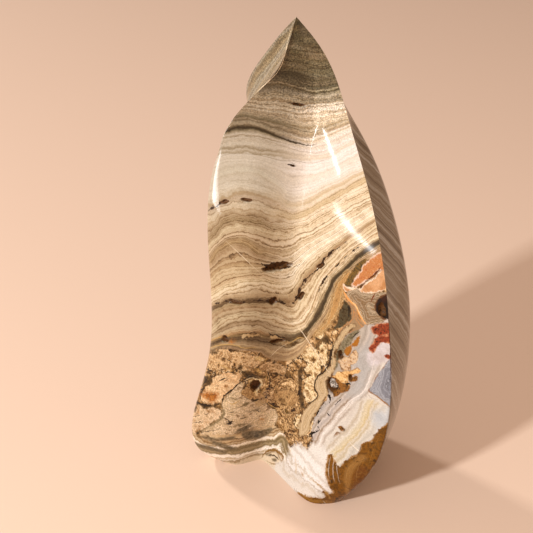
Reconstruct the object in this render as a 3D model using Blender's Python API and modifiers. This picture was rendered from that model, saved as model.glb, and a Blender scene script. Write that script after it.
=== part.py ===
"""Polished flame of angel jasper: one carved stone that stands on its flat sawn base.

Metres, +Z up. The origin lies on the base, under the body of the stone. -Y is the broad
hollow face, +X its right-hand side. The shape is a coarse cage, smoothed by Subdivision
Surface, whose creases are the carved edges that wind up to the tip. The larger natural
pits of the stone are cut out of its hollow face.
"""

from math import radians

import bmesh
import bpy
from mathutils import Matrix, Vector, noise
from mathutils.bvhtree import BVHTree

NAME = "angel_jasper_flame"
MM = 0.001

# The tip, as (height, right, back) in millimetres. Its height is the height of the flame.
TIP = (200, -3.7, 0)

# The lines that the carver followed from the base to the tip, as (height, right, back).
# In order round the stone, from the sharp front edge leftwards across the hollow face.
FRONT_EDGE = [
    (0, 15, -28.5), (10, 21.5, -31.5), (24, 28, -33), (42, 32.3, -31), (60, 33, -28), (80, 31.5, -24),
    (110, 28.2, -17), (140, 21.5, -10.5), (160, 15.4, -7), (180, 9.8, -4.5), (190, 5, -2.5),
]
FRONT_FACET = [
    (0, 2.5, -29), (10, 5, -30), (24, 9, -26), (40, 12.5, -20), (60, 13.5, -14.5), (84, 12.5, -10),
    (126, 10.5, -3.5), (150, 9, -3), (176, 7, -3.5),
]
HOLLOW = [
    (0, -15, -3.5), (20, -11, -2), (40, -6, -3), (58, -3, -1), (84, -3.5, 2.5), (126, -2.5, 5),
    (150, 1, 2), (176, 3, -1.5),
]
LEFT_CREST = [
    (0, -26, -8), (20, -30, -12), (50, -24, -9), (100, -22, -3), (130, -20, 3), (150, -17, 3.5), (176, -7, -2),
]
LEFT_EDGE = [
    (0, -36, -3), (4, -43.5, -4), (10, -46.8, -4), (18, -47.6, -3), (31, -43.2, 0), (43, -38.4, 2),
    (60, -36.2, 4), (80, -37, 9), (100, -38.5, 13), (121, -37.5, 14), (138, -33.5, 10), (153, -27.5, 6.7),
    (166, -20.6, 1), (175, -14.5, -3), (181, -9.5, -4), (190, -6.5, -2.5),
]
LEFT_GROOVE = [(0, -20, 14), (40, -25, 24), (80, -24, 28), (120, -25, 25), (150, -21, 14), (170, -14, 8), (190, -7, 3)]
BACK_EDGE = [
    (0, 8, 26), (20, 9, 32), (50, 5, 37), (80, -3, 37.5), (110, -11, 35), (140, -18.5, 29),
    (160, -22, 21.5), (175, -16, 13), (190, -9.6, 5),
]
BACK_SWELL = [(0, 24, 14), (20, 30, 20), (60, 31, 26), (90, 25, 28), (120, 14, 25), (160, 1, 15), (190, -3, 5)]
RIGHT_SWELL = [
    (0, 30, -6), (14, 37, -2), (31, 41, 0), (55, 43.5, 2), (76, 43, 2), (97, 40, 2), (120, 34.2, 2),
    (141, 27.3, 2), (159, 17.5, 2), (172, 9.7, 2), (190, 1, 1.5),
]
LINES = [
    line + [TIP]
    for line in (
        FRONT_EDGE, FRONT_FACET, HOLLOW, LEFT_CREST, LEFT_EDGE, LEFT_GROOVE, BACK_EDGE, BACK_SWELL, RIGHT_SWELL
    )
]
FRONT, VALLEY, LEFT, BACK = (LINES[place] for place in (0, 2, 4, 6))
COLUMNS = 2 * len(LINES)

# Heights of the cage's rings, in millimetres: close at the rounded foot and at the tip.
RING_HEIGHTS = [0, 4, 11, 22, 37, 56, 78, 100, 122, 141, 157, 170, 181, 191, 200]
SMOOTH_LEVELS = 2
DOUBLES = 1e-6

# The base is split across its waist, from the valley to the left groove, as (column, row).
BASE_WAIST = [(4, 0), (10, 0)]

# The larger natural pits of the hollow face: where each one lies, its half length and half
# width along the face, its depth, all in millimetres, and how far it slants, in degrees.
PITS = [
    # (right, height, half length, half width, depth, slant)
    (-9.7, 94.4, 6.2, 1.9, 2.6, 0),
    (-2.4, 165.8, 2.7, 0.8, 1.2, -8),
    (-29.0, 119.5, 2.2, 0.9, 1.2, 30),
    (-21.0, 123.4, 2.6, 0.8, 1.2, 5),
    (-11.1, 79.8, 2.0, 1.7, 1.8, 0),
    (-25.3, 80.2, 3.4, 0.9, 1.3, 8),
    (-0.8, 81.5, 2.9, 1.1, 1.5, 62),
    (6.1, 98.2, 2.6, 0.8, 1.2, 42),
    (-29.4, 61.9, 1.8, 1.6, 1.8, 0),
    (-9.6, 61.4, 3.3, 1.1, 1.6, -6),
    (13.9, 64.4, 1.5, 2.0, 2.2, 0),
    (10.9, 50.3, 2.9, 3.5, 3.4, 0),
    (17.7, 56.8, 1.1, 1.5, 1.6, 0),
    (-17.6, 42.2, 2.5, 3.1, 2.4, 0),
    (28.0, 91.0, 1.8, 3.0, 1.8, 15),
]
PIT_ROUGHNESS = 0.22
PIT_LUMPS = 1.7
SHORTEST_EDGE = 0.00002

# Polished stone: the cream and beige of the strata, seen together from a distance.
STONE_COLOUR = (0.52, 0.40, 0.27, 1.0)
STONE_ROUGHNESS = 0.12


def along(line, height):
    """(right, back) of a carved line at a height, on a smooth curve through its stations."""
    last = len(line) - 1
    span = 0
    while span < last - 1 and height > line[span + 1][0]:
        span += 1
    before, start, end, after = (line[min(max(span + step, 0), last)] for step in (-1, 0, 1, 2))
    length = end[0] - start[0]
    t = (height - start[0]) / length
    point = []
    for axis in (1, 2):
        slope_in = (end[axis] - before[axis]) / (end[0] - before[0]) * length
        slope_out = (after[axis] - start[axis]) / (after[0] - start[0]) * length
        point.append(
            (2 * t**3 - 3 * t**2 + 1) * start[axis]
            + (t**3 - 2 * t**2 + t) * slope_in
            + (3 * t**2 - 2 * t**3) * end[axis]
            + (t**3 - t**2) * slope_out
        )
    return point


def cage_point(column, height):
    """A cage corner: even columns lie on the carved lines, odd ones halfway between two."""
    here = along(LINES[column // 2 % len(LINES)], height)
    if column % 2 == 0:
        return here
    there = along(LINES[(column // 2 + 1) % len(LINES)], height)
    return [(a + b) / 2 for a, b in zip(here, there)]


def sharpness(column, height):
    """How sharp the polished edge is along a column of the cage, from 0 to 1."""
    line = LINES[column // 2 % len(LINES)] if column % 2 == 0 else None
    if line is FRONT:
        return min(1.0, 0.2 + height / 60)
    if line is LEFT:
        return min(1.0, max(0.0, (height - 120) / 30))
    if line is BACK:
        return min(1.0, max(0.0, (height - 30) / 90))
    if line is VALLEY:
        return 0.45 if height > 150 else 0.25
    return 0.0


def build_cage():
    """A grid rolled round the stone, closed at the tip, with a flat base inside its lowest ring."""
    mesh = bmesh.new()
    rows = len(RING_HEIGHTS) - 1
    bmesh.ops.create_grid(mesh, x_segments=COLUMNS, y_segments=rows, size=1)
    crease = mesh.edges.layers.float.new("crease_edge")
    place = {}
    for vert in mesh.verts:
        column = round((vert.co.x + 1) / 2 * COLUMNS)
        row = round((vert.co.y + 1) / 2 * rows)
        place[vert] = (column % COLUMNS, row)
    for edge in mesh.edges:
        (column, row), (other, top) = (place[vert] for vert in edge.verts)
        if column == other:
            edge[crease] = sharpness(column, RING_HEIGHTS[min(row, top)])
        if row == top == 0:
            edge[crease] = 1.0
        edge.smooth = edge[crease] < 1.0
    for vert, (column, row) in place.items():
        height = RING_HEIGHTS[row]
        right, back = cage_point(column, height)
        vert.co = Vector((right, back, height)) * MM
    bmesh.ops.remove_doubles(mesh, verts=mesh.verts, dist=DOUBLES)
    rim = [edge for edge in mesh.edges if edge.is_boundary]
    bmesh.ops.contextual_create(mesh, geom=rim)
    waist = [vert for vert in mesh.verts if place.get(vert) in BASE_WAIST]
    bmesh.ops.connect_verts(mesh, verts=waist)
    bmesh.ops.recalc_face_normals(mesh, faces=mesh.faces)
    return mesh


def cut_pit(face, right, height, half_length, half_width, depth, slant):
    """A lumpy egg, sunk to half its thickness where the hollow face passes the given place."""
    place, outward, _, _ = face.ray_cast(Vector((right, -1000, height)) * MM, Vector((0, 1, 0)))
    across = Vector((0, 0, 1)).cross(outward).normalized()
    frame = Matrix((across, outward.cross(across), outward)).transposed().to_4x4()
    pit = bmesh.new()
    bmesh.ops.create_icosphere(pit, subdivisions=2, radius=1)
    for vert in pit.verts:
        vert.co *= 1 + PIT_ROUGHNESS * noise.noise(vert.co * PIT_LUMPS + Vector((right, height, depth)))
    size = Matrix.Diagonal((half_length * MM, half_width * MM, depth * MM, 1))
    turn = Matrix.Rotation(radians(slant), 4, "Z")
    bmesh.ops.transform(pit, matrix=Matrix.Translation(place) @ frame @ turn @ size, verts=pit.verts)
    return pit


def add_object(name, mesh, group):
    data = bpy.data.meshes.new(name)
    mesh.to_mesh(data)
    mesh.free()
    thing = bpy.data.objects.new(name, data)
    group.objects.link(thing)
    return thing


def polished_stone():
    stone = bpy.data.materials.new("polished_jasper")
    stone.use_nodes = True
    shader = stone.node_tree.nodes["Principled BSDF"]
    shader.inputs["Base Color"].default_value = STONE_COLOUR
    shader.inputs["Roughness"].default_value = STONE_ROUGHNESS
    shader.inputs["Metallic"].default_value = 0.0
    return stone


def main():
    for thing in list(bpy.data.objects):
        bpy.data.objects.remove(thing, do_unlink=True)
    group = bpy.data.collections.new(NAME)
    cutters = bpy.data.collections.new("pit_cutters")
    bpy.context.scene.collection.children.link(group)
    bpy.context.scene.collection.children.link(cutters)

    flame = add_object(NAME, build_cage(), group)
    flame.data.shade_smooth()
    flame.data.materials.append(polished_stone())
    smooth = flame.modifiers.new("smooth", "SUBSURF")
    smooth.levels = SMOOTH_LEVELS
    smooth.render_levels = SMOOTH_LEVELS

    face = BVHTree.FromObject(flame, bpy.context.evaluated_depsgraph_get())
    for number, pit in enumerate(PITS, start=1):
        cutter = add_object(f"pit_{number:02d}", cut_pit(face, *pit), cutters)
        cutter.hide_render = True
        cutter.display_type = "WIRE"
    pits = flame.modifiers.new("pits", "BOOLEAN")
    pits.operand_type = "COLLECTION"
    pits.collection = cutters
    pits.solver = "EXACT"
    clean = flame.modifiers.new("clean", "WELD")
    clean.merge_threshold = SHORTEST_EDGE


main()
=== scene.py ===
"""Polished flame of angel jasper on a pale floor, as the photograph shows it.

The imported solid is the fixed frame. This script gives the same stone its fine surface: the
carved form, the natural pits with their quartz, and the banded, broken and healed pattern
that runs through it. Metres, +Z up, -Y out of the broad hollow face.
"""

from math import radians

import bmesh
import bpy
import numpy as np
from mathutils import Matrix, Vector, noise
from mathutils.bvhtree import BVHTree


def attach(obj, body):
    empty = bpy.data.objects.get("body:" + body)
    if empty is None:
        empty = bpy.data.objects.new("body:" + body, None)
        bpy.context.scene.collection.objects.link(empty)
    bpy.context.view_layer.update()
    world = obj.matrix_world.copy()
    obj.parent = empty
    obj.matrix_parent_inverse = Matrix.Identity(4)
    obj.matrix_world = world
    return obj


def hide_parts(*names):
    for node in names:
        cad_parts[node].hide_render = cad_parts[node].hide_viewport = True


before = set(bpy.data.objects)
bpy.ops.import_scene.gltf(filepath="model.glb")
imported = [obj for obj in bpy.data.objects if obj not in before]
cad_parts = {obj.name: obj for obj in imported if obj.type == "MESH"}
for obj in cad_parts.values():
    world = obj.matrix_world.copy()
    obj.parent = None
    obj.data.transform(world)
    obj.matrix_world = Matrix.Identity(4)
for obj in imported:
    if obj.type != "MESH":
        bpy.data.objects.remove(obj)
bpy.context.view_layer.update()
MM = 0.001


# The view: a long lens, 38 degrees above the table, in a frame of 533 pixels square.
# The stone's pattern is placed by pixels of this frame, so the camera comes first.
FRAME_SIDE = 533
LENS_PIXELS = 1650
SENSOR_MM = 36
LOOK_DOWN = radians(38)
CAMERA_PLACE = Vector((-0.013566, -0.480281, 0.470564))

lens = bpy.data.cameras.new("camera")
lens.sensor_width = SENSOR_MM
lens.lens = LENS_PIXELS / FRAME_SIDE * SENSOR_MM
camera = bpy.data.objects.new("camera", lens)
camera.location = CAMERA_PLACE
camera.rotation_euler = (radians(90) - LOOK_DOWN, 0, 0)
bpy.context.scene.collection.objects.link(camera)
bpy.context.scene.camera = camera


def to_frame(points):
    """Pixel columns and rows of an array of points, as the photograph would show them."""
    away = points - np.array(CAMERA_PLACE)
    forward = away @ np.array((0, np.cos(LOOK_DOWN), -np.sin(LOOK_DOWN)))
    up = away @ np.array((0, np.sin(LOOK_DOWN), np.cos(LOOK_DOWN)))
    middle = FRAME_SIDE / 2
    return middle + LENS_PIXELS * away[:, 0] / forward, middle - LENS_PIXELS * up / forward


# The carved form: one stone, ground and polished into a twisted flame. Nine lines wind up it
# to the tip, given as (height, right, back) in millimetres. Three of them are sharp edges.
TIP = (200, -3.7, 0)
FRONT_EDGE = [
    (0, 15, -28.5), (10, 21.5, -31.5), (24, 28, -33), (42, 32.3, -31), (60, 33, -28), (80, 31.5, -24),
    (110, 28.2, -17), (140, 21.5, -10.5), (160, 15.4, -7), (180, 9.8, -4.5), (190, 5, -2.5),
]
FRONT_FACET = [
    (0, 2.5, -29), (10, 5, -30), (24, 9, -26), (40, 12.5, -20), (60, 13.5, -14.5), (84, 12.5, -10),
    (126, 10.5, -3.5), (150, 9, -3), (176, 7, -3.5),
]
HOLLOW = [
    (0, -15, -3.5), (20, -11, -2), (40, -6, -3), (58, -3, -1), (84, -3.5, 2.5), (126, -2.5, 5),
    (150, 1, 2), (176, 3, -1.5),
]
LEFT_CREST = [
    (0, -26, -8), (20, -30, -12), (50, -24, -9), (100, -22, -3), (130, -20, 3), (150, -17, 3.5),
    (176, -7, -2),
]
LEFT_EDGE = [
    (0, -36, -3), (4, -43.5, -4), (10, -46.8, -4), (18, -47.6, -3), (31, -43.2, 0), (43, -38.4, 2),
    (60, -36.2, 4), (80, -37, 9), (100, -38.5, 13), (121, -37.5, 14), (138, -33.5, 10), (153, -27.5, 6.7),
    (166, -20.6, 1), (175, -14.5, -3), (181, -9.5, -4), (190, -6.5, -2.5),
]
LEFT_GROOVE = [
    (0, -20, 14), (40, -25, 24), (80, -24, 28), (120, -25, 25), (150, -21, 14), (170, -14, 8), (190, -7, 3),
]
BACK_EDGE = [
    (0, 8, 26), (20, 9, 32), (50, 5, 37), (80, -3, 37.5), (110, -11, 35), (140, -18.5, 29),
    (160, -22, 21.5), (175, -16, 13), (190, -9.6, 5),
]
BACK_SWELL = [
    (0, 24, 14), (20, 30, 20), (60, 31, 26), (90, 25, 28), (120, 14, 25), (160, 1, 15), (190, -3, 5),
]
RIGHT_SWELL = [
    (0, 30, -6), (14, 37, -2), (31, 41, 0), (55, 43.5, 2), (76, 43, 2), (97, 40, 2), (120, 34.2, 2),
    (141, 27.3, 2), (159, 17.5, 2), (172, 9.7, 2), (190, 1, 1.5),
]
LINES = [
    line + [TIP]
    for line in (
        FRONT_EDGE, FRONT_FACET, HOLLOW, LEFT_CREST, LEFT_EDGE,
        LEFT_GROOVE, BACK_EDGE, BACK_SWELL, RIGHT_SWELL,
    )
]
FRONT, VALLEY, LEFT, BACK = (LINES[place] for place in (0, 2, 4, 6))
COLUMNS = 2 * len(LINES)

# The cage: rings close at the rounded foot and at the tip, and the base split across its waist.
RING_HEIGHTS = [0, 4, 11, 22, 37, 56, 78, 100, 122, 141, 157, 170, 181, 191, 200]
BASE_WAIST = [(4, 0), (10, 0)]
SMOOTH_LEVELS = 4
DOUBLES = 1e-6


def along(line, height):
    """(right, back) of a carved line at a height, on a smooth curve through its stations."""
    last = len(line) - 1
    span = 0
    while span < last - 1 and height > line[span + 1][0]:
        span += 1
    before, start, end, after = (line[min(max(span + step, 0), last)] for step in (-1, 0, 1, 2))
    length = end[0] - start[0]
    t = (height - start[0]) / length
    point = []
    for axis in (1, 2):
        slope_in = (end[axis] - before[axis]) / (end[0] - before[0]) * length
        slope_out = (after[axis] - start[axis]) / (after[0] - start[0]) * length
        point.append(
            (2 * t**3 - 3 * t**2 + 1) * start[axis]
            + (t**3 - 2 * t**2 + t) * slope_in
            + (3 * t**2 - 2 * t**3) * end[axis]
            + (t**3 - t**2) * slope_out
        )
    return point


def cage_point(column, height):
    """A cage corner: even columns lie on the carved lines, odd ones halfway between two."""
    here = along(LINES[column // 2 % len(LINES)], height)
    if column % 2 == 0:
        return here
    there = along(LINES[(column // 2 + 1) % len(LINES)], height)
    return [(a + b) / 2 for a, b in zip(here, there)]


def sharpness(column, height):
    """How sharp the polished edge is along a column of the cage, from 0 to 1."""
    line = LINES[column // 2 % len(LINES)] if column % 2 == 0 else None
    if line is FRONT:
        return min(1.0, 0.2 + height / 60)
    if line is LEFT:
        return min(1.0, max(0.0, (height - 120) / 30))
    if line is BACK:
        return min(1.0, max(0.0, (height - 30) / 90))
    if line is VALLEY:
        return 0.45 if height > 150 else 0.25
    return 0.0


def build_cage():
    """A grid rolled round the stone, closed at the tip, with a flat base inside its lowest ring."""
    mesh = bmesh.new()
    rows = len(RING_HEIGHTS) - 1
    mesh.loops.layers.uv.new("round_and_up")
    bmesh.ops.create_grid(mesh, x_segments=COLUMNS, y_segments=rows, size=1, calc_uvs=True)
    crease = mesh.edges.layers.float.new("crease_edge")
    place = {}
    for vert in mesh.verts:
        column = round((vert.co.x + 1) / 2 * COLUMNS)
        row = round((vert.co.y + 1) / 2 * rows)
        place[vert] = (column % COLUMNS, row)
    for edge in mesh.edges:
        (column, row), (other, top) = (place[vert] for vert in edge.verts)
        if column == other:
            edge[crease] = sharpness(column, RING_HEIGHTS[min(row, top)])
        if row == top == 0:
            edge[crease] = 1.0
        edge.smooth = edge[crease] < 1.0
    for vert, (column, row) in place.items():
        height = RING_HEIGHTS[row]
        right, back = cage_point(column, height)
        vert.co = Vector((right, back, height)) * MM
    bmesh.ops.remove_doubles(mesh, verts=mesh.verts, dist=DOUBLES)
    rim = [edge for edge in mesh.edges if edge.is_boundary]
    bmesh.ops.contextual_create(mesh, geom=rim)
    waist = [vert for vert in mesh.verts if place.get(vert) in BASE_WAIST]
    bmesh.ops.connect_verts(mesh, verts=waist)
    bmesh.ops.recalc_face_normals(mesh, faces=mesh.faces)
    return mesh


def smooth_stone():
    """The stone's smooth surface, with the carved edges kept, as a bmesh."""
    cage = build_cage()
    data = bpy.data.meshes.new("cage")
    cage.to_mesh(data)
    cage.free()
    data.shade_smooth()
    rough_out = bpy.data.objects.new("cage", data)
    bpy.context.scene.collection.objects.link(rough_out)
    smooth = rough_out.modifiers.new("smooth", "SUBSURF")
    smooth.levels = SMOOTH_LEVELS
    smooth.render_levels = SMOOTH_LEVELS
    smooth.uv_smooth = "NONE"
    finished = rough_out.evaluated_get(bpy.context.evaluated_depsgraph_get())
    mesh = bmesh.new()
    mesh.from_mesh(finished.to_mesh())
    bpy.data.objects.remove(rough_out, do_unlink=True)
    return mesh


stone = smooth_stone()


# The natural pits of the hollow face, as part of the stone: small hollows that the bands close
# round. The surface is refined about each one and then sunk to its depth.
PITS = [
    # (right, height, half length, half width, depth in millimetres, slant in degrees)
    (-9.7, 94.4, 6.2, 1.9, 2.6, 0),
    (-2.4, 165.8, 2.7, 0.8, 1.2, -8),
    (-29.0, 119.5, 2.2, 0.9, 1.2, 30),
    (-21.0, 123.4, 2.6, 0.8, 1.2, 5),
    (-11.1, 79.8, 2.0, 1.7, 1.8, 0),
    (-25.3, 80.2, 3.4, 0.9, 1.3, 8),
    (-0.8, 81.5, 2.9, 1.1, 1.5, 62),
    (6.1, 98.2, 2.6, 0.8, 1.2, 42),
    (-29.4, 61.9, 1.8, 1.6, 1.8, 0),
    (-9.6, 61.4, 3.3, 1.1, 1.6, -6),
    (13.9, 64.4, 1.5, 2.0, 2.2, 0),
    (10.9, 50.3, 2.9, 3.5, 3.4, 0),
    (17.7, 56.8, 1.1, 1.5, 1.6, 0),
    (-17.6, 42.2, 2.5, 3.1, 2.4, 0),
    (28.0, 91.0, 1.8, 3.0, 1.8, 15),
]

# The hollow face runs over the first 8 columns of the cage, and its edges are kept this short.
FRONT_SPAN = 8 / COLUMNS
LONG_EDGE = 0.8 * MM

round_and_up = stone.loops.layers.uv.active


def split_long_edges():
    """Halves the long edges of the hollow face, where the pattern needs the most points."""
    on_front = {
        edge
        for face in stone.faces
        if np.mean([loop[round_and_up].uv[0] for loop in face.loops]) < FRONT_SPAN
        for edge in face.edges
    }
    long_ones = [edge for edge in on_front if edge.calc_length() > LONG_EDGE]
    in_order = sorted(long_ones, key=lambda edge: edge.index)
    bmesh.ops.subdivide_edges(stone, edges=in_order, cuts=1, use_grid_fill=True)


stone.edges.index_update()
split_long_edges()

PIT_CUTS = 2
PIT_MARGIN = 1.25
PIT_ROUGHNESS = 0.3
PIT_LUMP = 1.5 * MM
PIT_STEEPNESS = 2.6
pit_depth = stone.verts.layers.float.new("pit")


def open_pit(face, right, height, half_length, half_width, depth, slant):
    """Where a pit opens, its ways along and across, out of the stone, and its sizes in metres."""
    place, outward, _, _ = face.ray_cast(Vector((right, -1000, height)) * MM, Vector((0, 1, 0)))
    level_way = Vector((0, 0, 1)).cross(outward).normalized()
    along_way = Matrix.Rotation(radians(slant), 3, outward) @ level_way
    return place, along_way, outward.cross(along_way), outward, half_length * MM, half_width * MM, depth * MM


def reach_in_pit(point, place, along_way, across_way, outward, half_length, half_width, depth):
    """How far out in a pit's oval a point lies: 0 in its middle and 1 at its ragged rim."""
    away = point - place
    if away.length > PIT_MARGIN * max(half_length, half_width):
        return PIT_MARGIN
    ragged = 1 + PIT_ROUGHNESS * noise.noise(point / PIT_LUMP)
    return Vector((away.dot(along_way) / half_length, away.dot(across_way) / half_width)).length * ragged


def near_pit(places, pit):
    """The numbers of the places that lie in a pit's oval or just outside it."""
    far = PIT_MARGIN * max(pit[4], pit[5])
    near = np.flatnonzero(((places - np.array(pit[0])) ** 2).sum(axis=1) < far**2)
    return [int(number) for number in near if reach_in_pit(Vector(places[number]), *pit) < PIT_MARGIN]


def refine_pits(pits):
    """Splits the faces in and round the pits, so that a rim has enough points to be ragged."""
    centres = np.array([face.calc_center_median() for face in stone.faces])
    stone.faces.ensure_lookup_table()
    stone.edges.index_update()
    faces = {number for pit in pits for number in near_pit(centres, pit)}
    edges = {edge for number in faces for edge in stone.faces[number].edges}
    in_order = sorted(edges, key=lambda edge: edge.index)
    bmesh.ops.subdivide_edges(stone, edges=in_order, cuts=PIT_CUTS, use_grid_fill=True)


def sink_pits(pits):
    """Pushes the stone in at each pit: steep below the rim and round at the bottom."""
    places = np.array([vert.co for vert in stone.verts])
    stone.verts.ensure_lookup_table()
    for pit in pits:
        outward, depth = pit[3], pit[6]
        for number in near_pit(places, pit):
            vert = stone.verts[number]
            share = max(0.0, 1 - reach_in_pit(vert.co, *pit) ** PIT_STEEPNESS)
            vert[pit_depth] = max(vert[pit_depth], share)
            vert.co -= outward * depth * share


polished_face = BVHTree.FromBMesh(stone)
pits = [open_pit(polished_face, *pit) for pit in PITS]
refine_pits(pits)
sink_pits(pits)


# Quartz: a crust of small clear crystals that grew on the floor of one of the pits, each a
# six-sided prism with a pointed end, leaning its own way.
DRUSE_PIT = 11
DRUSE_FLOOR = 0.75
DRUSE_SIZE = 2.1 * MM
CRYSTALS = 30
CRYSTAL_RADIUS = (0.22 * MM, 0.5 * MM)
CRYSTAL_LENGTH = 1.7 * MM
CRYSTAL_TAPER = 0.9
CRYSTAL_LEAN = 0.5
SIDES = 6
GOLDEN_TURN = radians(137.5)
druse = bmesh.new()
druse_uv = druse.loops.layers.uv.new("round_and_up")
quartz = druse.verts.layers.float.new("quartz")

place, along_way, across_way, outward, _, _, depth = pits[DRUSE_PIT]
for number in range(CRYSTALS):
    share = (number + 0.5) / CRYSTALS
    turn = number * GOLDEN_TURN
    away = along_way * np.cos(turn) + across_way * np.sin(turn)
    root = place - outward * depth * DRUSE_FLOOR + away * DRUSE_SIZE * share**0.5
    way = (outward - away * CRYSTAL_LEAN * share).normalized()
    thin, thick = CRYSTAL_RADIUS
    radius = thin + (thick - thin) * (0.5 + 0.5 * noise.noise(root / MM))
    stand = Matrix.Translation(root) @ way.to_track_quat("Z", "Y").to_matrix().to_4x4()
    prism = bmesh.ops.create_cone(
        druse, cap_ends=True, segments=SIDES, radius1=radius, radius2=radius * CRYSTAL_TAPER,
        depth=CRYSTAL_LENGTH, matrix=stand,
    )
    ends = {face for vert in prism["verts"] for face in vert.link_faces if len(face.verts) == SIDES}
    outer_end = max(ends, key=lambda face: face.calc_center_median().dot(way))
    point = bmesh.ops.poke(druse, faces=[outer_end])["verts"][0]
    point.co += way * radius
for vert in druse.verts:
    vert[quartz] = 1
for edge in druse.edges:
    edge.smooth = False
for face in druse.faces:
    for loop in face.loops:
        loop[druse_uv].uv = (FRONT_SPAN / 2, 0.5)
crust = bpy.data.meshes.new("crust")
druse.to_mesh(crust)
druse.free()
stone.from_mesh(crust)


# The strata: fine silt and ash, laid down in sheets and turned to jasper. Each horizon is
# followed across the hollow face through "column,row" pixels of the frame. Its number
# is how high it lies in the pile, in millimetres.
HORIZONS = {
    200: "200,17 400,17",
    166: "240,84 265,84 283,85.5 301,90 313,93 326,93 340,90 400,84",
    160: "240,102 275,104 300,107 313,106 400,97",
    153: "200,121 238,117 260,120 280,124 295,128.6 310,132 325,128.5 349,120 400,108",
    150: "200,127 238,122 255,123 276,131 300,137.5 310,138 321,135 349,125 400,112",
    147: "200,138 227,130 240,127.5 252,127.5 263,131 289,140.8 300,143.5 310,145.5 321,143 350,129 "
         "400,114",
    143.5: "200,148 226,138 243,135.5 260,138 279,143.3 289,145.5 306,150 320,150.5 339,143 352,137.5 "
           "400,121",
    139: "200,166 216,158.5 229,154 247,153.8 263,155.8 279,160 297,161 309,163 320,161.5 334,156 "
         "350,146 400,126",
    126: "200,187 217,178 235,172 255,174 270,181 279,187 291,198 312,193.5 332,184 400,150",
    119: "200,212 213,210 220,204 229,201.5 234,199 247,199 258,200 268,203.5 279,204.5 291,211 301,209 "
         "313,204.5 352,182.5 368,174.5 400,157",
    110: "200,262 208,252 219,239 228,234 238,231.4 254,232.5 266,236.5 276,238.4 289,238 302,233 "
         "320,225 341,211 400,178",
    103: "200,274 209,263.5 220,250.5 233,244 246,244 257,253 270,257 282,259 292,257 302,250.5 321,238 "
         "340,227.5 400,192",
    96: "200,288 210,280 222,271 240,267 258,267 276,269 290,268 300,260 315,248 340,233 378,209 "
        "400,196",
    88: "200,308 210,301.5 223,292.6 238,286 251,284.3 264,285 280,288 292,286 300,272 313,258 340,239 "
        "400,202",
    84: "200,318 211,310.5 218,305.5 229,302 243,302 259,301.5 276,301 288,305 296,301 303,284 315,271 "
        "329,255.6 347,240 378,219 400,206",
    76: "200,342 211,332 223,323 236,317 251,315.6 266,318 282,322 294,325 304,321 313,303 319,288 "
        "330,271 348,252 378,231 400,216",
    70: "200,348 211,341 223,336 233,334.5 251,333.5 261,333.5 282,338.5 289,340 301,336 306,333.4 "
        "315,322 322,310.5 326,301.5 329,292.6 335,280 347,268.4 357,258 366,252 400,232",
    62: "200,362 210,353 217,348.7 227,346.7 238,348.7 250,350 260,351.5 268,355.5 276,358 286,358.8 "
        "297,355.5 305,347.5 312,335 328,314 333,301.5 334,292.6 340,282.4 352,272 359,263.3 376,254.3 "
        "400,243",
}
BELOW_ALL = 2000
PIXELS_PER_LEVEL = 2.4
DIP = 1.9
CURVE_STEPS = 10
EDGE_STEPS = 12
THINNEST_PIXELS = 0.01


def smooth_curve(path, closed=False):
    """A Catmull-Rom curve through the stations of a path, as an array with steps between them."""
    marks = np.array([station.split(",") for station in path.split()], float)
    if closed:
        ring = np.vstack((marks[-1], marks, marks[:2]))
    else:
        ring = np.vstack((2 * marks[0] - marks[1], marks, 2 * marks[-1] - marks[-2]))
    t = np.linspace(0, 1, CURVE_STEPS, endpoint=False)[:, None]
    spans = []
    for before, start, end, after in zip(ring, ring[1:], ring[2:], ring[3:]):
        bend = 2 * before - 5 * start + 4 * end - after
        twist = 3 * start - before - 3 * end + after
        spans.append(start + ((end - before) * t + bend * t**2 + twist * t**3) / 2)
    spans.append(marks[:1] if closed else marks[-1:])
    return np.vstack(spans)


def level_on_front(columns, rows):
    """How high in the pile a place of the hollow face lies, between the horizons round it."""
    levels = sorted(HORIZONS, reverse=True)
    heights = [np.interp(columns, *smooth_curve(HORIZONS[level]).T) for level in levels]
    heights.append(heights[-1] + BELOW_ALL)
    levels.append(levels[-1] - BELOW_ALL / PIXELS_PER_LEVEL)
    heights = np.maximum.accumulate(np.array(heights), axis=0)
    level = np.full(len(columns), float(levels[0])) + (heights[0] - rows) / PIXELS_PER_LEVEL
    for upper, lower, top, bottom in zip(levels, levels[1:], heights, heights[1:]):
        share = np.clip((rows - top) / np.maximum(bottom - top, THINNEST_PIXELS), 0, 1)
        below = rows > top
        level[below] = (upper + (lower - upper) * share)[below]
    return level


def level_behind(points, edge_points, edge_levels):
    """The same sheets, followed back through the stone from one of its edges at their dip."""
    order = np.argsort(edge_points[:, 2])
    edge_heights, edge_backs, edge_levels = edge_points[order, 2], edge_points[order, 1], edge_levels[order]
    meeting = points[:, 2].copy()
    for _ in range(EDGE_STEPS):
        onward = points[:, 2] + DIP * (points[:, 1] - np.interp(meeting, edge_heights, edge_backs))
        meeting = (meeting + onward) / 2
    beyond = np.maximum(meeting - edge_heights[-1], 0) + np.minimum(meeting - edge_heights[0], 0)
    return np.interp(meeting, edge_heights, edge_levels) + beyond / MM


# The stone as one piece: its mesh, and for each of its points its place in the frame, and how
# far round the stone it lies from the front edge.
def make_piece(name, mesh):
    """The finished bmesh as a smooth-shaded object."""
    mesh.normal_update()
    data = bpy.data.meshes.new(name)
    mesh.to_mesh(data)
    mesh.free()
    data.shade_smooth()
    piece = bpy.data.objects.new(name, data)
    bpy.context.scene.collection.objects.link(piece)
    return piece


flame = make_piece("polished_flame", stone)
points = np.empty(len(flame.data.vertices) * 3, np.float32)
flame.data.vertices.foreach_get("co", points)
points = points.reshape(-1, 3).astype(float)
columns, rows = to_frame(points)

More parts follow.
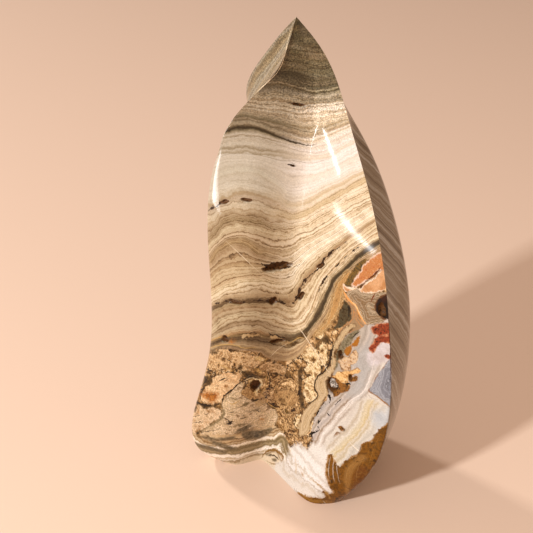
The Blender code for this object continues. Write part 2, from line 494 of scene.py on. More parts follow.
corner_points = np.empty(len(flame.data.loops), np.int32)
flame.data.loops.foreach_get("vertex_index", corner_points)
corner_places = np.empty(len(flame.data.loops) * 2, np.float32)
flame.data.uv_layers["round_and_up"].data.foreach_get("uv", corner_places)
corner_round = corner_places.reshape(-1, 2)[:, 0]
round_share = np.zeros(len(points))
round_share[corner_points] = corner_round


# The finish: jasper sawn, ground and polished until it shines like glass. The colour is the
# stone's own and lies flat in the surface. Only the pits stay rough.
def colour(hex_code):
    """An sRGB hex colour as the linear red, green, blue and alpha of a socket."""
    shares = [int(hex_code[place:place + 2], 16) / 255 for place in (1, 3, 5)]
    linear = [share / 12.92 if share <= 0.04045 else ((share + 0.055) / 1.055) ** 2.4 for share in shares]
    return (*linear, 1.0)


jasper = bpy.data.materials.new("polished_jasper")
jasper.use_nodes = True
jasper.node_tree.nodes.clear()


def add(kind, inputs, out=0, tree=jasper.node_tree, **settings):
    """Adds a node with its settings, gives its inputs values or links, and returns an output."""
    node = tree.nodes.new("ShaderNode" + kind)
    for name, value in settings.items():
        setattr(node, name, value)
    for name, value in inputs.items():
        if isinstance(value, bpy.types.NodeSocket):
            tree.links.new(value, node.inputs[name])
        else:
            node.inputs[name].default_value = value
    return node.outputs[out] if node.outputs else None


def keep(name, values, domain="POINT"):
    """Stores a number for each point or corner of the stone, and reads it for the finish."""
    flame.data.attributes.new(name, "FLOAT", domain).data.foreach_set("value", values.astype(np.float32))
    return add("Attribute", {}, "Fac", attribute_name=name)


def read_stops(text):
    """(place, colour) pairs from a text of "place #colour" stops, parted by semicolons."""
    pairs = [stop.split() for stop in text.split(";")]
    return [(float(place), shade) for place, shade in pairs]


def shaded(stops, share):
    """The colour for a share from 0 to 1, between (place, colour) stops."""
    result = add("ValToRGB", {"Fac": share})
    elements = result.node.color_ramp.elements
    for place, _ in stops[1:-1]:
        elements.new(place)
    elements[0].position, elements[-1].position = stops[0][0], stops[-1][0]
    for element, (_, shade) in zip(elements, stops):
        element.color = colour(shade)
    return result


def spread_evenly(shades, share):
    """The colour for a share from 0 to 1, with the shades of a text at even steps."""
    shades = shades.split()
    return shaded([(number / (len(shades) - 1), shade) for number, shade in enumerate(shades)], share)


# Noise with this much detail hardly leaves the span from low to high, so that is its full range.
CLOUD_DETAIL = 5
CLOUD_ROUGHNESS = 0.6
CLOUD_LOW = 0.35
CLOUD_HIGH = 0.65


def cloud(size_mm, **place):
    """Soft lumps of a real size, or sheets of it along a number, from 0 to 1."""
    inputs = {"Scale": 1 / (size_mm * MM), "Detail": CLOUD_DETAIL, "Roughness": CLOUD_ROUGHNESS, **place}
    rough = add("TexNoise", inputs, noise_dimensions="1D" if "W" in place else "3D")
    return add("MapRange", {"Value": rough, "From Min": CLOUD_LOW, "From Max": CLOUD_HIGH})


def sway(value, texture, amount):
    """A value that a texture moves up and down, by half the amount each way."""
    lowest = add("Math", {0: value, 1: amount / 2}, operation="SUBTRACT")
    return add("Math", {0: texture, 1: amount, 2: lowest}, operation="MULTIPLY_ADD")


# The stone's own unevenness, from grains of 0.5 mm to drifts of 9 mm.
here = add("TexCoord", {}, "Object")
grains = cloud(0.5, Vector=here)
crumbs = cloud(1.2, Vector=here)
lumps = cloud(3, Vector=here)
drifts = cloud(9, Vector=here)


# Where the sheets come out: on the hollow face between the horizons, and on the hidden sides
# where their dip takes them through the stone. The lobe's colours reach a little round it.
SLACK = 0.001
LOBE_TOP = 60 * MM
LOBE_NARROWS = 0.6 * LOBE_TOP
LOBE_REACH = 2 / COLUMNS
BACK_SPAN = 12 / COLUMNS
BACK_BLEND = 1.5 / COLUMNS
WING_START = 3.4 / COLUMNS
WING_END = 5.6 / COLUMNS


def ease(low, high, values):
    """0 below low, 1 above high, and an even slope with soft ends between them."""
    share = np.clip((values - low) / (high - low), 0, 1)
    return share * share * (3 - 2 * share)


lobe_wrap = LOBE_REACH * (1 - ease(LOBE_NARROWS, LOBE_TOP, points[corner_points, 2]))
front_share = keep("face", 1 - ease(0, 1, (corner_round - FRONT_SPAN) / (lobe_wrap + SLACK)), "CORNER")
wing = keep("wing", ease(WING_START, WING_END, round_share))

on_front = round_share < FRONT_SPAN + SLACK
at_right_edge = np.unique(corner_points[(corner_round < SLACK) & (points[corner_points, 2] > 0)])
at_left_edge = np.unique(corner_points[np.abs(corner_round - FRONT_SPAN) < SLACK])
level = level_on_front(columns, rows)
from_right = level_behind(points, points[at_right_edge], level[at_right_edge])
from_left = level_behind(points, points[at_left_edge], level[at_left_edge])
left_share = 1 - ease(BACK_SPAN - BACK_BLEND, BACK_SPAN + BACK_BLEND, round_share)
behind = from_left * left_share + from_right * (1 - left_share)
on_edge = np.zeros(len(points), bool)
on_edge[at_right_edge] = True
height_in_pile = keep("level", np.where(on_front | on_edge, level, behind))


# The sheets of the pile, from the olive silt at the tip down to the coarse brown ones, as
# "level #colour", in millimetres. The right facet's table is paler than the left wing's: partly
# the sheets' own colour and partly painted light, standing in for the stronger light on the facet.
LEFT_SHEETS = read_stops("""
    200 #5E5438; 198 #51492F; 195 #6F6344; 191 #58523A; 189.5 #574F37; 187 #6C644C; 186.2 #857B62;
    185 #746B52; 183.2 #62593C; 181 #6F6449; 179 #5C5236; 177 #71654B; 175 #65593D; 173 #463D25;
    171.5 #473E27; 169.5 #5A513B; 168 #5F563F; 167.2 #85795F; 166.2 #574C32; 164.5 #7A7361; 162.5 #8E856E;
    161 #9B917B; 157 #A49C89; 155 #938871; 153.8 #7F765F; 153 #62583E; 152 #988E79; 151.2 #6C6049;
    150.3 #8E856F; 149 #9C927D; 148.2 #6F6148; 147.4 #3C311C; 146.8 #40351E; 146 #8A8169; 145.3 #AAA291;
    144.3 #B1AA9B; 143.8 #8E826A; 143.3 #B1AA9B; 141.2 #B7B1A2; 140.7 #8E8268; 140.2 #B5AE9F; 139.5 #988E77;
    139 #BBB6AA; 134 #BEB9AC; 130.5 #B5AFA0; 127 #BCB8A9; 125.5 #B5AE9E; 123 #BFBAAC; 121 #B9B19F;
    120.2 #9F8E70; 119.2 #AB9C86; 117.5 #B9AE98; 116 #AD9E83; 115 #A29072; 113 #93805C; 112 #998664;
    111 #B3A586; 110 #AC9B7C; 108 #B19E80; 106.5 #A08C69; 105 #9A835A; 104 #A38B5F; 103 #937C51; 101 #A38D6B;
    99 #A28C66; 98 #A8936F; 97 #A48D63; 95.5 #B7A684; 94 #B6A583; 92.4 #AB9670; 91 #B7A380; 90 #C2B595;
    88 #C3B69A; 86.4 #B4A384; 85.4 #A48E69; 84.4 #6E5733; 83.6 #6B5530; 82.6 #98855F; 81 #A48E6B; 79 #A28F6D;
    77.5 #B8AC8F; 76.4 #A99876; 75.4 #AF9F80; 74.4 #8E7852; 73 #9E8B6B; 71.5 #AB9A79; 70.4 #9F7F4F;
    69.3 #7C6434; 68 #5F4826; 67 #5D4929; 66 #786340; 65 #947F5D; 64 #A08A63; 63 #745B32; 61.5 #9E8666
""")
RIGHT_SHEETS_WITH_PAINTED_LIGHT = read_stops("""
    200 #5F553A; 198 #3F371F; 195 #5F543D; 191 #5B5139; 190 #73684B; 188.5 #625940; 186.5 #5C5035;
    184.5 #76694D; 182 #80735A; 181 #6B5F41; 179 #756C51; 177.5 #60573D; 175.5 #746E54; 173 #726A54;
    172 #5F573D; 170 #7A7058; 169 #5B543B; 168 #6A6653; 167.2 #A09A80; 166.2 #5E573F; 165.4 #958E78;
    164 #B0A997; 163 #9E9680; 162 #8E8670; 161 #B4AD9B; 160 #CCC6B8; 157 #DAD3C2; 156 #CFC5B0; 155 #D3CAB6;
    154 #AC9E80; 153 #C3B9A3; 152 #BAAC90; 151 #AB9A80; 150 #DED8CC; 149 #C8BBA4; 148 #DDD6CA; 146.5 #DFDAD2;
    145 #D9D1C3; 143 #E2DEDA; 141 #DCD5C9; 140 #D5CCBC; 139 #E2DFDB; 135 #E4E0DC; 133 #DDD6CB; 129 #E2DED8;
    127 #DFDAD1; 126 #D8D0C1; 125 #DCD5C8; 123.4 #D2C5AE; 122 #C8B899; 121 #D8CFBB; 119.5 #D8CFBE;
    118 #C9B999; 117 #C4B38F; 116.2 #CABB9B; 115 #DED6C4; 113 #D3C7AE; 112 #CEC0A3; 110 #D3C8AF; 108 #D1C5AC;
    106.5 #CDC0A4; 105 #D0C4AA; 103.5 #DDD6C5; 102 #D6CCB5; 101 #D2C6AB; 99.5 #E0DACA; 97 #DFD9CC; 96 #D8CDB4;
    94 #E2DCCB; 92 #DFD9C8; 90.4 #CEC2A8; 89 #D5CAB2; 87 #C8BA9C; 86 #BAA883; 85 #9C8158; 84.3 #A4895F;
    83.4 #BDA883; 82 #CFC2A5; 80 #CCBE9E; 78.4 #C9B898; 77 #D8CEB6; 76 #B79F76; 75.3 #C2AE88; 74 #D6CBB2;
    73 #D0C4A6; 72.4 #A9966F; 71.6 #62502E; 70.6 #4A3B20; 69.6 #4E4025; 68.8 #8A7753; 68 #B5A37F;
    67.2 #8B7347; 66.2 #CDBC98; 65.4 #A0845A; 64.4 #B89E72; 63.4 #957953; 62.4 #B59B6E; 61.5 #A08558
""")
RAMP_STOPS = 30
WAVES = 1.3
RIPPLES = 0.32
wavy_level = sway(sway(height_in_pile, drifts, WAVES), crumbs, RIPPLES)


def sheet_colours(sheets):
    """The colour of the sheet at a level, on as many ramps as the sheets take."""
    result = None
    for first in range(0, len(sheets) - 1, RAMP_STOPS - 1):
        part = sheets[first:first + RAMP_STOPS][::-1]
        low, high = part[0][0], part[-1][0]
        share = add("MapRange", {"Value": wavy_level, "From Min": low, "From Max": high})
        colours = shaded([((level - low) / (high - low), shade) for level, shade in part], share)
        if result:
            lower = add("Math", {0: wavy_level, 1: high}, operation="LESS_THAN")
            colours = add("Mix", {"Factor": lower, 6: result, 7: colours}, 2, data_type="RGBA")
        result = colours
    return result


# The left wing's sheets over the right facet's, whose paler colours are partly painted light.
surface = add("Mix", {"Factor": wing, 6: sheet_colours(RIGHT_SHEETS_WITH_PAINTED_LIGHT), 7: sheet_colours(LEFT_SHEETS)}, 2,
              data_type="RGBA")

# Each sheet is itself made of thinner ones: pale silt with fine brown lines between. They show
# most in the brown sheets and least in the pale ones, as "share of the height #strength".
LAMINA_MM = 1.1
FINE_LAMINA_MM = 0.4
FINE_SHARE = 0.45
LUMPY_SHARE = 0.3
LAMINA_SHADES = read_stops("0.15 #7E6238; 0.42 #CFBB96; 0.65 #F5F0E6; 1 #FFFFFF")
LAMINA_STRENGTH = read_stops("0 #FFFFFF; 0.56 #F0F0F0; 0.62 #808080; 0.73 #808080; 0.78 #E0E0E0; 1 #D0D0D0")
LAMINA_SATURATION = 0.8
LAMINA_GAIN = 1.24
metres_up = add("Math", {0: wavy_level, 1: MM}, operation="MULTIPLY")
laminae = cloud(LAMINA_MM, W=metres_up)
broad_laminae = add("Math", {0: laminae, 1: 1 - FINE_SHARE}, operation="MULTIPLY")
both_laminae = add("Math", {0: cloud(FINE_LAMINA_MM, W=metres_up), 1: FINE_SHARE, 2: broad_laminae},
                   operation="MULTIPLY_ADD")
broken_laminae = add("Math", {0: lumps, 1: LUMPY_SHARE, 2: both_laminae}, operation="MULTIPLY_ADD")
lamina_share = shaded(LAMINA_STRENGTH, add("Math", {0: height_in_pile, 1: TIP[0]}, operation="DIVIDE"))
tinted = add("Mix", {"Factor": 1.0, 6: surface, 7: shaded(LAMINA_SHADES, broken_laminae)}, 2,
             data_type="RGBA", blend_type="MULTIPLY")
tinted = add("HueSaturation", {"Saturation": LAMINA_SATURATION, "Value": LAMINA_GAIN, "Color": tinted})
surface = add("Mix", {"Factor": lamina_share, 6: surface, 7: tinted}, 2, data_type="RGBA")


# The markings that cut across the sheets. Each is traced through "column,row" pixels of
# the frame, and a line's stations also give its half width. A slash parts one path from the next.
REACH = 8.0
LINE_REACH = 2.0
RIM_BREAKS = 1.6
RIM_LOW = 0.4
painted = (round_share < FRONT_SPAN + LOBE_REACH + SLACK) | on_edge


def from_curve(near, curve):
    """For each place: how far from a curve it lies, on which side, and where along the curve."""
    start, step = curve[:-1, :2], np.diff(curve[:, :2], axis=0)
    across, down = columns[near][:, None] - start[:, 0], rows[near][:, None] - start[:, 1]
    length = np.maximum((step**2).sum(axis=1), THINNEST_PIXELS**2)
    share = np.clip((across * step[:, 0] + down * step[:, 1]) / length, 0, 1)
    away = np.hypot(across - share * step[:, 0], down - share * step[:, 1])
    nearest = away.argmin(axis=1)
    each = np.arange(len(near))
    side = np.sign(step[nearest, 0] * down[each, nearest] - step[nearest, 1] * across[each, nearest])
    return away[each, nearest], side, nearest, share[each, nearest]


def close_to(curve, reach):
    """The numbers of the front points in the box round a curve."""
    low, high = curve[:, :2].min(axis=0) - reach, curve[:, :2].max(axis=0) + reach
    in_box = painted & (columns > low[0]) & (columns < high[0]) & (rows > low[1]) & (rows < high[1])
    return np.flatnonzero(in_box)


def inside(outlines):
    """How many pixels inside the nearest of some closed outlines each point lies: minus outside."""
    field = np.full(len(points), -REACH)
    for outline in outlines.split("/"):
        curve = smooth_curve(outline, closed=True)
        near = close_to(curve, REACH)
        away = from_curve(near, curve)[0]
        x, y = columns[near][:, None], rows[near][:, None]
        (left, top), (right, bottom) = curve[:-1].T, curve[1:].T
        slope = (right - left) / np.where(bottom == top, 1, bottom - top)
        crossed = ((top > y) != (bottom > y)) & (x < left + (y - top) * slope)
        within = crossed.sum(axis=1) % 2 == 1
        field[near] = np.maximum(field[near], np.where(within, away, -away))
    return field


def bands_along(name, swirl, guide, stops):
    """The colours of bands along a guide curve, as "pixels to its right-hand side #colour"."""
    stops = read_stops(stops)
    low, high = stops[0][0], stops[-1][0]
    curve = smooth_curve(guide)
    near = close_to(curve, max(-low, high) + REACH)
    away, side, _, _ = from_curve(near, curve)
    across = np.full(len(points), float(high))
    across[near] = away * side
    bent = sway(sway(keep(name, across), drifts, swirl), crumbs, swirl / 4)
    share = add("MapRange", {"Value": bent, "From Min": low, "From Max": high})
    return shaded([((place - low) / (high - low), shade) for place, shade in stops], share)


def lay(name, shades, outlines, texture=None, ragged=1.2, soft=0.5, layers=0, swirl=1.0, rim=None):
    """Lays mottled, layered or banded colours over the surface so far, inside some outlines."""
    depth = keep(name, inside(outlines))
    uneven = sway(sway(depth, crumbs, ragged), lumps, ragged)
    share = add("MapRange", {"Value": uneven, "From Min": -soft, "From Max": soft})
    if isinstance(shades, bpy.types.NodeSocket):
        paint = shades
    elif layers:
        swirled = add("Math", {0: texture, 1: swirl * MM}, operation="MULTIPLY")
        sheet = add("Math", {0: depth, 1: MM / layers, 2: swirled}, operation="MULTIPLY_ADD")
        paint = spread_evenly(shades, cloud(1, W=sheet))
    else:
        paint = spread_evenly(shades, texture)
    result = add("Mix", {"Factor": share, 6: surface, 7: paint}, 2, data_type="RGBA")
    if rim:
        shade, half_width = rim
        off_rim = sway(add("Math", {0: uneven}, operation="ABSOLUTE"), lumps, RIM_BREAKS)
        rim_edge = half_width - RIM_BREAKS / 2
        share = add("MapRange", {"Value": off_rim, "From Min": half_width + RIM_LOW, "From Max": rim_edge})
        result = add("Mix", {"Factor": share, 6: result, 7: colour(shade)}, 2, data_type="RGBA")
    return result


def draw(name, shade, paths, soft=0.4, wobble=0.6, broken=0):
    """Draws lines or rows of spots over the surface so far, with blurred, uneven or broken sides."""
    offset, width = np.full(len(points), REACH), np.zeros(len(points))
    for path in paths.split("/"):
        curve = smooth_curve(path)
        near = close_to(curve, LINE_REACH + curve[:, 2].max())
        away, side, segment, share = from_curve(near, curve)
        thick = curve[segment, 2] * (1 - share) + curve[segment + 1, 2] * share
        ours = (away - thick < LINE_REACH) & (away - thick < np.abs(offset[near]) - width[near])
        offset[near[ours]] = (away * side)[ours]
        width[near[ours]] = thick[ours]
    off_line = add("Math", {0: sway(keep(name, offset), crumbs, wobble)}, operation="ABSOLUTE")
    half_width = keep(name + "_width", width)
    if broken:
        half_width = sway(half_width, lumps, broken)
    within = add("Math", {0: half_width, 1: off_line}, operation="SUBTRACT")
    share = add("MapRange", {"Value": within, "From Max": soft})
    return add("Mix", {"Factor": share, 6: surface, 7: colour(shade)}, 2, data_type="RGBA")


# The broken ground under the sheets: lumps of older jasper in a golden-brown cement, which
# filled the gaps between them.
BROKEN_BELOW = 61.5
BROKEN_BLEND = 0.6
CLAST_MM = 4.4
CLAST_CRUMBS = 0.45
SEAM_HALF_WIDTH = 0.09
CLAST_SHADES = read_stops("0.1 #5A4426; 0.35 #8C6C42; 0.5 #AC8A5C; 0.65 #CDB088; 0.9 #E6D0AA")
clast_tone = add("Math", {0: lumps, 1: 1 - CLAST_CRUMBS}, operation="MULTIPLY")
clast_tone = add("Math", {0: crumbs, 1: CLAST_CRUMBS, 2: clast_tone}, operation="MULTIPLY_ADD")
off_seam = add("Math", {0: sway(0, cloud(CLAST_MM, Vector=here), 1)}, operation="ABSOLUTE")
in_seam = add("MapRange", {"Value": off_seam, "From Min": SEAM_HALF_WIDTH, "From Max": SEAM_HALF_WIDTH / 3})
broken = add("Mix", {"Factor": in_seam, 6: shaded(CLAST_SHADES, clast_tone), 7: colour("#2E1E0A")}, 2,
             data_type="RGBA")
in_broken = add("MapRange", {"Value": wavy_level, "From Min": BROKEN_BELOW + BROKEN_BLEND,
                             "From Max": BROKEN_BELOW - BROKEN_BLEND})
surface = add("Mix", {"Factor": in_broken, 6: surface, 7: broken}, 2, data_type="RGBA")


# The breccia of the left foot: crumbled pale jasper on top, a worn pink clast, a grey-beige one
# under it, and brown gravel between them and the ribbon.
surface = lay("crumbled_top", "#4A3012 #A8875C #CFB48E #8A683E #C6AA82", """
    204,354 214,350 226,349 250,354 262,359 274,362 284,366 286,374 276,374 252,368 216,370 204,372
    """, lumps, ragged=2.2, soft=0.8, rim=("#3E2A10", 0.5))
surface = lay("brown_gravel", "#2A1A0A #7E5C34 #CDAE80 #5A3E20 #BA986A #E0C8A0", """
    263,372 276,376 290,376 300,384 300,410 292,424 300,436 312,446 306,456 296,450 288,436 280,424 274,410
    262,400 262,386
    """, lumps, ragged=2.2, soft=1.2)
surface = lay("beige_clast", "#927C5E #C4AE90 #D8C6AA #B09A7A #D2BE9E #BCA688", """
    240,381 246,389 252,396 260,399 276,411 277,420 271,430 258,431 244,433 232,437 214,437 198,437 206,428
    217,420 222,411 222,402 232,390
    """, lumps, ragged=1.6, soft=0.8, rim=("#7A6340", 0.4))
surface = lay("left_clast", "#9A744A #C4A680 #D6BC98 #BC9A72 #D0B28C", """
    212,377 226,373 235,374 239,373 240,381 225,396 221,402 216,405 206,404 200,398 204,386 209,385 212,382
    """, lumps, rim=("#4C3618", 0.5))
surface = lay("lower_left_ground", "#98764E #C2A888 #D2BC9E #AE9472", """
    190,406 198,404 210,406 220,409 221,416 214,421 205,428 194,434 188,420
    """, lumps, rim=("#5E4A2C", 0.3))
surface = lay("rust_patch", "#7A4410 #9A6022 #B07838 #8A5218", """
    199,394 210,392 219,394 217,397 214,402 210,401 205,398 / 230,342 232,340 235,342 232,343
    """, drifts, soft=1.6, ragged=2)
surface = lay("granular_clast", "#6E5230 #A08258 #BC9C70 #8E6E44 #B09066", """
    274,393 281,390 290,390 298,394 296,402 288,406 279,404 274,400 / 246,386 253,391 262,393 264,399
    262,404 254,401 246,398 241,392
    """, lumps, ragged=2, soft=1.0, rim=("#4C3413", 0.3))
surface = lay("beige_lumps", "#6E5028 #B4966A #D2BA90 #E6D6B4 #C2A880 #8E7048", """
    304,352 311,347 318,350 321,357 315,363 307,362 303,358 / 307,377 314,374 317,380 316,389 318,396
    311,403 305,398 304,386 / 316,333 321,332 324,336 319,340 315,338 / 320,345 325,342 328,350 328,361
    322,366 317,360 / 309,423 312,420 315,424 313,429 310,428 / 295,417 302,414 308,418 308,428 301,431
    295,426 / 312,362 322,368 319,374 310,376 304,371
    """, lumps, ragged=2.2, rim=("#3E2A10", 0.3))
surface = lay("pink_lumps", "#9A7E56 #B49A72 #BCA682", """
    242,335 250,334 259,334 260,336 250,337 243,337 / 269,334 284,340 291,342 287,345 272,338 / 254,401
    262,399 266,403 262,406 256,405
    """, lumps, ragged=2.4)
surface = lay("dark_patches", "#2A1E0C #4A3618 #6A5230 #32240E", """
    242,373 246,371 251,372 257,375 266,376 266,378 248,379 / 204,377 208,376 212,378 212,382 208,384
    204,383 / 196,401 200,402 204,404 211,405 216,406 212,407 206,409 200,405 / 287,345 292,342 299,341
    297,344 292,346 / 211,351 215,351 219,352 215,354 211,354 / 239,365 242,365 242,368 240,370 238,368 /
    195,404 197,408 195,412 193,409 / 315,348 318,342 324,337 328,336 329,343 326,343 324,341 320,343
    317,349 / 298,338 301,334 306,332 308,334 304,338 / 302,366 303,371 301,374 302,382 301,391 303,396
    304,402 302,409 300,403 298,394 299,383 298,374 299,369
    """, lumps, ragged=1.8, soft=0.9)
surface = lay("golden_lenses", "#B08E58 #D8C298 #C2A26A", """
    255,358 260,357 267,359 265,361 261,362 / 254,370 258,368 262,372 260,374 / 248,380 250,379 259,379
    264,380 262,384 258,388 257,396 254,392 253,387 250,385
    """, drifts, rim=("#8E7044", 0.3), soft=1.0)
surface = lay("eye_hearts", "#3B2A10 #5C4825 #7D5E2C", """
    250,382 253,381 259,383 255,388 253,386 250,384 / 259,387 261,388 262,392 260,391 / 285,409 288,411
    288,414 285,412
    """, lumps, ragged=0.6)
surface = draw("eye_rims", "#DCCCAA", """
    246,380,0.7 252,378,0.8 262,382,1.1 257,390,1 258,395,0.7 / 254,420,0.7 257,415,0.9 262,413,0.9
    268,415,0.9 269,420,0.9 266,425,0.8 260,426,0.8 255,424,0.7 254,420,0.6
    """, soft=1.0, wobble=1.2)
surface = draw("eye_gold", "#A8742C", "261,419,1.4 263,419,1.4", soft=1.6)

surface = draw("grey_stream", "#827252", """
    220,404,1 224,412,2.2 222,417,2.3 217,422,2.2 203,430,1.5 195,432,0.6
    """, soft=2.2, wobble=1.5)
surface = draw("clast_shades", "#7E6E50", """
    238,408,0.8 246,404,2.8 251,403,0.8 / 226,397,0.6 234,399,1.8 242,398,0.6 / 246,413,0.6 256,410,1.8
    263,407,0.6 / 228,428,0.6 240,425,2 252,424,0.8
    """, soft=2.0, wobble=1.5)
surface = draw("golden_lines", "#B89A64", """
    211,341,0.5 217,338,0.6 228,336,0.5 / 288,344,0.3 295,340,0.6 299,338,0.7 304,338,0.3 / 266,377,0.5
    267,381,0.6 265,388,0.6 262,392,0.5 263,396,0.5 270,405,0.6 278,409,0.4 / 210,348,0.5 220,345,0.6
    235,345,0.5 244,348,0.5 257,347,0.3 / 219,364,0.4 225,367,0.5 233,371,0.3 / 228,402,0.4 232,404,0.6
    237,402,0.5 240,400,0.3
    """)
surface = draw("dark_cracks", "#2B1D0A", """
    269,333,0.3 272,335,0.8 277,335,0.6 280,337,0.8 287,339,0.3 / 221,357,0.2 228,360,0.6 234,364,0.2 /
    218,370,0.2 225,372,0.5 232,372,0.5 239,368,0.7 / 243,380,0.5 232,390,0.8 224,396,0.8 222,404,0.4 /
    203,432,0.3 209,431,0.5 219,429,0.3 / 240,334,0.3 253,333,0.5 261,333,0.3 / 211,344,0.4 221,340,0.4
    228,339,0.3 / 256,410,0.3 258,411,0.6 260,412,0.3 / 250,406,0.3 254,407,0.4 / 193,417,0.3 198,416,0.5 /
    192,423,0.4 201,422,0.6 / 206,414,0.5 208,414,0.5 / 223,382,0.3 228,379,0.5 / 270,387,0.5 273,388,0.5 /
    276,385,0.5 277,385,0.4 / 226,424,0.3 230,422,0.8 235,422,0.3 / 242,415,0.4 245,416,0.4 / 208,369,0.9
    214,373,0.5 218,373,0.2 / 289,434,0.5 291,435,0.6 / 300,408,0.4 302,410,0.4 / 222,416,0.4 231,423,0.9
    226,424,0.6 / 204,376,0.8 206,380,1.2 203,384,0.8 / 198,391,0.6 203,389,0.8 / 196,402,0.9 204,405,1.3
    211,406,0.7 / 268,372,0.5 270,380,0.9 269,388,0.6
    """, wobble=1.2)
surface = draw("clast_marks", "#3E3018", """
    252,402,0.5 256,400,1.1 259,399,0.5 / 230,413,0.4 233,412,0.6 / 247,411,0.5 249,411,0.5 / 262,404,0.4
    264,405,0.5 / 240,419,0.3 244,418,0.7 247,417,0.3 / 219,381,0.4 223,379,0.9 226,378,0.5 / 212,395,0.6
    213,395,0.6 / 228,388,0.4 229,388,0.4 / 216,386,0.4 217,386,0.4 / 238,430,0.4 246,427,1.3 251,426,0.6 /
    256,434,0.4 264,431,1.1 272,431,0.5
    """, wobble=0.5)

# The broken ground is grainy, and the chalcedony that comes next is not.
BROKEN_GRAIN = 0.4
gravel = add("Math", {0: sway(0, grains, 1), 1: BROKEN_GRAIN}, operation="MULTIPLY")
gravel = add("Math", {0: gravel, 1: in_broken, 2: 1.0}, operation="MULTIPLY_ADD")
surface = add("HueSaturation", {"Value": gravel, "Color": surface})


# The left lobe: pale chalcedony that settled over the gravel in light and dark bands, and
# curls round at its end.
lobe_flow = bands_along("lobe_flow", 4.5, """
    188,434 198,440.5 210,445 232,446.5 270,437 279,434.5 286,437 290,445 293,455 304,478
    """, """
    -14 #6A5638; -11 #C0A680; -9 #D0BC9A; -7.5 #6E5638; -6 #C6AE8A; -4 #86693F; -2.5 #CDBC9E; -1.5 #A0855C;
    0 #EDE5D8; 1.5 #DCCFB8; 2.5 #9C8A6A; 4 #7C6C4C; 6 #A89878; 7.5 #84734F; 9 #EAE2D4; 10.5 #F0EAE0;
    12 #BCA888; 13 #E4DACA; 14.5 #98825E; 16 #D6C8B0
    """)
surface = lay("pale_lobe", lobe_flow, """
    186,434 199,434 228,435 240,431 250,428 262,428 272,426 281,429 290,446 297,452 290,462 284,474 270,478
    250,480 215,474 196,458 186,444
    """, ragged=2, soft=1.0)
surface = lay("lobe_bands", "#4E4431 #665A44 #7A6B52 #8E8068", """
    197,436 217,438 228,437 235,436 233,439 222,440 210,440 / 208,441 215,441 230,446 238,448 230,450
    224,449 / 234,432 249,425 250,427 247,430 241,432 / 242,434 248,431 260,430 272,428 270,433 262,437
    250,440 244,438 / 192,441 204,445 216,448 226,451 224,453 212,450 200,447 / 266,454 270,454 272,455
    270,456 / 278,466 283,465 287,466 283,468 / 272,459 276,459 276,461 273,461
    """, crumbs, ragged=1.2, soft=1.1)
surface = draw("curl", "#8A6A38", """
    262,457,0.8 266,452,1.5 273,450,1.9 280,453,1.8 283,458,1.6 280,463,1.4 273,464,1.1 267,461,0.6
    """, soft=1.2, wobble=1.2)
surface = draw("curl_heart", "#4A3820", """
    269,455,0.8 275,456,1.4 278,459,0.9 / 284,466,0.5 289,467,1
    """, soft=1.0, wobble=1.2)


# The granular brown band: coarse sand between the last cream sheet and the broken ground, with
# a wedge of olive silt at its top.
surface = lay("granular_band", "#3A2810 #A67E4A #C8A470 #6E4C20 #E2C898 #8A6434", """
    347,270 340,277 334,288 327,316 321,325 313,334 316,337 327,330 335,319 341,306 346,289 350,280 355,271
    """, crumbs, soft=0.8, layers=1.8, swirl=0.9)
surface = lay("olive_wedge", "#3E3420 #6B5B36 #8A6A30 #4F4429", """
    367,259 362,268 358,272 356,276 355,280 352,286 347,287 344,284 347,279 352,271 356,265 361,261
    """, crumbs)


# Salmon chalcedony: lumps stained by iron, each in a pale skin, with a brown crack between
# them.
surface = lay("salmon", "#B5703E #C48F63 #BC7E46 #CBA077", """
    379,253 386,256 386,270 379,270 373,275 367,280 357,286 352,286 354,281 358,275 362,270 364,265
    """, crumbs, rim=("#DECABA", 0.7))
surface = lay("pale_salmon", "#D8B896 #CFA57C #B98A5C #C08450", """
    386,271 388,282 384,289 377,292 372,293 365,293 360,294 358,290 362,288 366,283 374,278 379,272 /
    343,284 347,287 357,288 355,291 349,292 345,291
    """, drifts, rim=("#E6D8C6", 0.6))
surface = draw("salmon_crack", "#66350F", "381,267,0.4 374,275,1.3 367,280,0.5 362,286,0.6", wobble=1.5)


# Grey and beige bands of silt round the red lens, which is jasper that iron has made almost
# black. An orange vein runs down beside them, past a lens of olive silt.
surface = lay("grey_bands", "#5F5238 #B08D66 #7C6E58 #CDBBA2 #6E5F44 #B59468", """
    349,291 357,289 362,292 372,294 381,292 389,296 389,324 380,325 374,325 368,330 362,321 352,304 346,297
    """, lumps, layers=3)
surface = lay("lens_tan", "#8E6A3C #B1906A #8F8168 #C09060 #A18361", """
    345,297 352,304 357,312 361,321 366,328 358,333 349,333 338,334 345,325 351,316 350,307
    """, lumps, layers=2.4)
surface = lay("red_brown_lens", "#0A0300 #1C0800 #3E1C06 #240C02", """
    382,296 390,296 390,318 384,319 376,311 376,303
    """, drifts, ragged=0.8, rim=("#6E4A2C", 0.6))
surface = draw("brown_slit", "#7A3F1C", "375,294,0.5 373,297,0.9 371,301,0.5")
surface = lay("olive_lens", "#33290F #524329 #5F5740 #453D28", """
    344,300 347,303 350,306 350,312 352,318 347,322 343,326 338,328 332,331 337,323 339,315 341,309 343,305
    """, crumbs)
surface = lay("lens_heart", "#171006 #2C2410", "348,306 351,309 350,315 347,318 348,312", grains)
surface = draw("orange_vein", "#D9A468", """
    344,292,0.7 347,297,1.2 351,302,1.3 356,306,1 360,316,0.9 369,328,0.5
    """)
surface = draw("vein_light", "#F0D3A4", "352,302,0.4 356,306.4,0.5 364.6,322.3,0.3", wobble=0.3)


